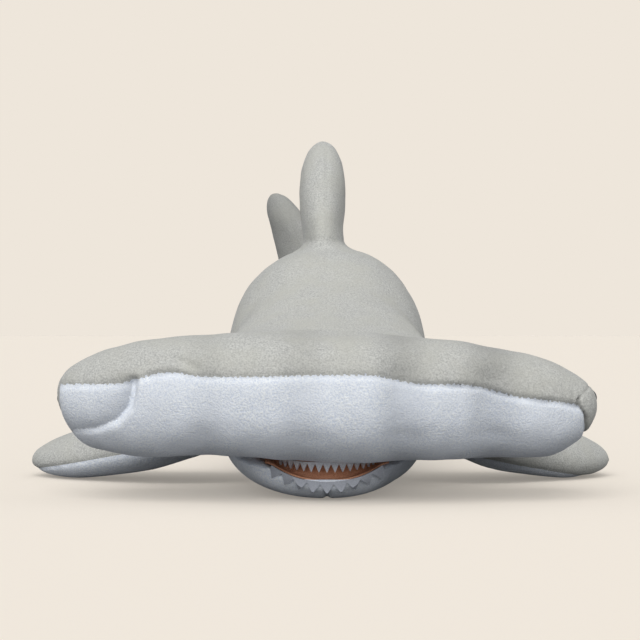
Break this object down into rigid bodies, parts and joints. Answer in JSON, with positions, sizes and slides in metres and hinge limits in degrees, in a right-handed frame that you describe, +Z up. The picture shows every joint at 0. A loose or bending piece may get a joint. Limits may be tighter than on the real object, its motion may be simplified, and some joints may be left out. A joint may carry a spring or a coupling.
{
  "type": "plush hammerhead shark",
  "caption": "Soft stuffed hammerhead shark with a wide white-bellied hammer, a felt-toothed mouth, plump side fins, a back fin and a flopped tail fin.",
  "frame": {"origin": "centre of the bounding box in plan, on the floor under the belly", "axes": "+X to the shark's left, +Y from the nose to the tail, +Z up from the belly to the back"},
  "size_m": [0.4512, 0.6159, 0.274],
  "materials": {
    "grey_plush": "short soft pile",
    "white_plush": "short soft pile",
    "fibre_fill": "loose polyester fibre",
    "mouth_felt": "matte felt",
    "tooth_felt": "matte felt",
    "eye_plastic": "glossy",
    "washer_plastic": "matte"
  },
  "bodies": {
    "torso": {"head_top_panel": "grey_plush", "head_under_panel": "white_plush", "left_end_gusset": "grey_plush", "right_end_gusset": "grey_plush", "back_left_panel": "grey_plush", "back_right_panel": "grey_plush", "belly_panel": "white_plush", "body_stuffing": "fibre_fill", "palate_lining": "mouth_felt", "upper_teeth": "tooth_felt", "left_eye": "eye_plastic", "right_eye": "eye_plastic", "left_eye_washer": "washer_plastic", "right_eye_washer": "washer_plastic"},
    "jaw": {"jaw_panel": "white_plush", "jaw_stuffing": "fibre_fill", "mouth_floor_lining": "mouth_felt", "lower_teeth": "tooth_felt"},
    "left_pectoral_fin": {"left_pectoral_top_panel": "grey_plush", "left_pectoral_under_panel": "white_plush", "left_pectoral_stuffing": "fibre_fill"},
    "right_pectoral_fin": {"right_pectoral_top_panel": "grey_plush", "right_pectoral_under_panel": "white_plush", "right_pectoral_stuffing": "fibre_fill"},
    "dorsal_fin": {"dorsal_left_panel": "grey_plush", "dorsal_right_panel": "grey_plush", "dorsal_stuffing": "fibre_fill"},
    "tail_stem": {"tail_left_panel": "grey_plush", "tail_right_panel": "grey_plush", "tail_belly_panel": "white_plush", "tail_stuffing": "fibre_fill"},
    "tail_fin": {"caudal_left_panel": "grey_plush", "caudal_right_panel": "grey_plush", "caudal_stuffing": "fibre_fill"}
  },
  "joints": [
    {"name": "jaw_hinge", "type": "hinge", "parent": "torso", "child": "jaw", "pos_m": [0, -0.158, 0.02], "axis": [1, 0, 0], "range_deg": [-1, 8], "stiffness_Nm_per_rad": 1.5},
    {"name": "left_pectoral_flap", "type": "hinge", "parent": "torso", "child": "left_pectoral_fin", "pos_m": [0.081, -0.11, 0.0405], "axis": [0, -1, 0], "range_deg": [-8, 32], "stiffness_Nm_per_rad": 2},
    {"name": "right_pectoral_flap", "type": "hinge", "parent": "torso", "child": "right_pectoral_fin", "pos_m": [-0.081, -0.11, 0.0405], "axis": [0, 1, 0], "range_deg": [-8, 32], "stiffness_Nm_per_rad": 2},
    {"name": "dorsal_lean", "type": "hinge", "parent": "torso", "child": "dorsal_fin", "pos_m": [0, -0.046, 0.187], "axis": [0, 1, 0], "range_deg": [-22, 22], "stiffness_Nm_per_rad": 1.5},
    {"name": "tail_sway", "type": "hinge", "parent": "torso", "child": "tail_stem", "pos_m": [0, 0.117, 0.1], "axis": [0, 0, 1], "range_deg": [-33, 27], "stiffness_Nm_per_rad": 2.5},
    {"name": "tail_fin_sway", "type": "hinge", "parent": "tail_stem", "child": "tail_fin", "pos_m": [-0.00455, 0.20388, 0.07], "axis": [0, 0, 1], "range_deg": [-20, 20], "stiffness_Nm_per_rad": 1.2}
  ]
}
